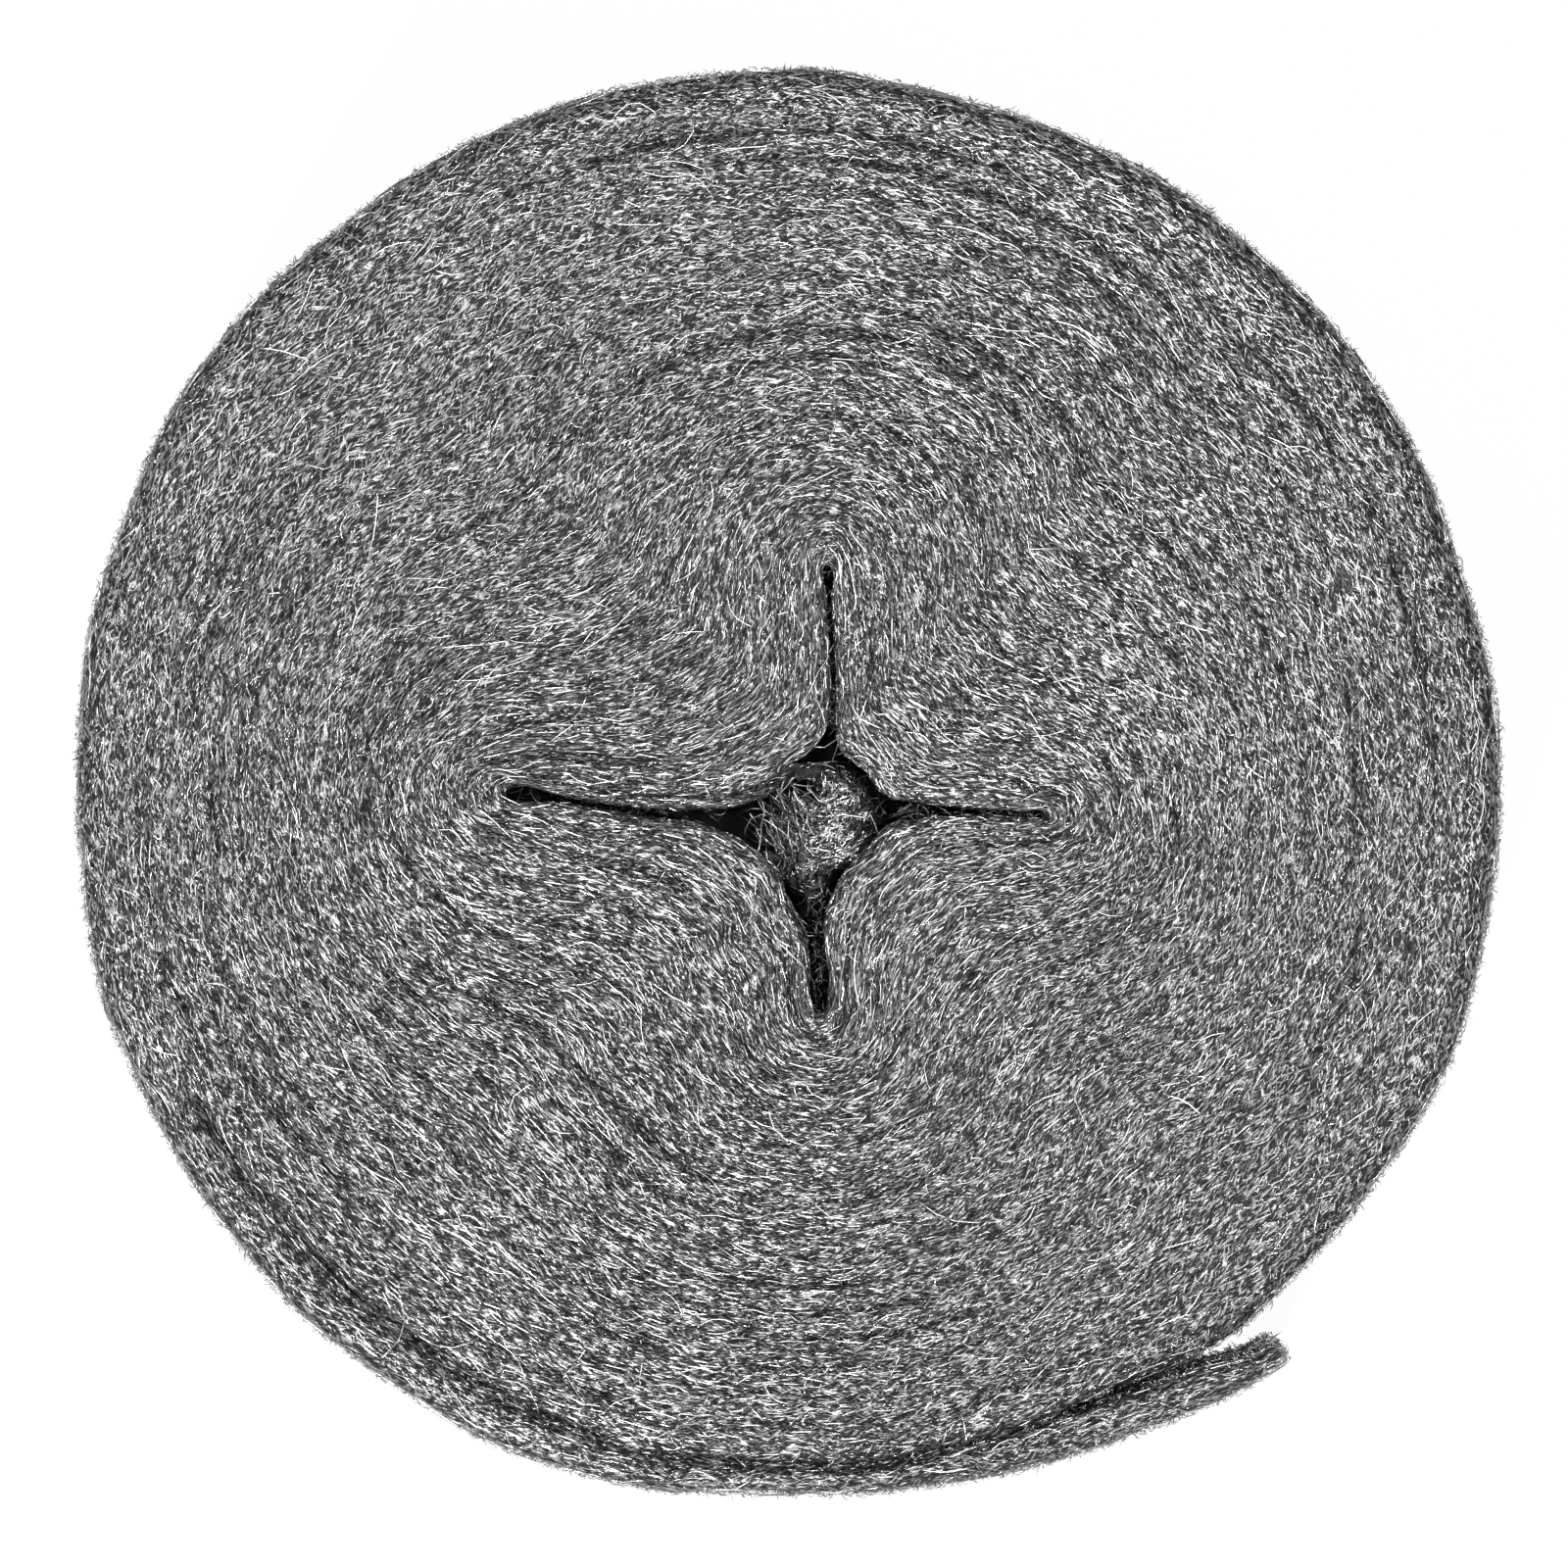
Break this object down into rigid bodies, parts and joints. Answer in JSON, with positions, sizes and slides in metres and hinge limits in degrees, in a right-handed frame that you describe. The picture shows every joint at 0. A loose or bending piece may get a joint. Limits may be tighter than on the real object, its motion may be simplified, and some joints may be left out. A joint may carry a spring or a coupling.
{
  "type": "steel wool roll",
  "caption": "Roll of steel wool wound from one flat ribbon, with a star-shaped sagged centre and a loose end flap, standing on its end.",
  "frame": {"origin": "centre of the lower end face's plane, under the middle of the roll", "axes": "+Z up along the winding axis; +X to the right and +Y up in the picture, which looks straight down on the upper end"},
  "size_m": [0.1101, 0.1101, 0.1],
  "materials": {
    "steel_wool": "mat of fine bright steel strands, neutral grey as a whole"
  },
  "bodies": {
    "root": {"wool_roll": "steel_wool"}
  },
  "joints": []
}
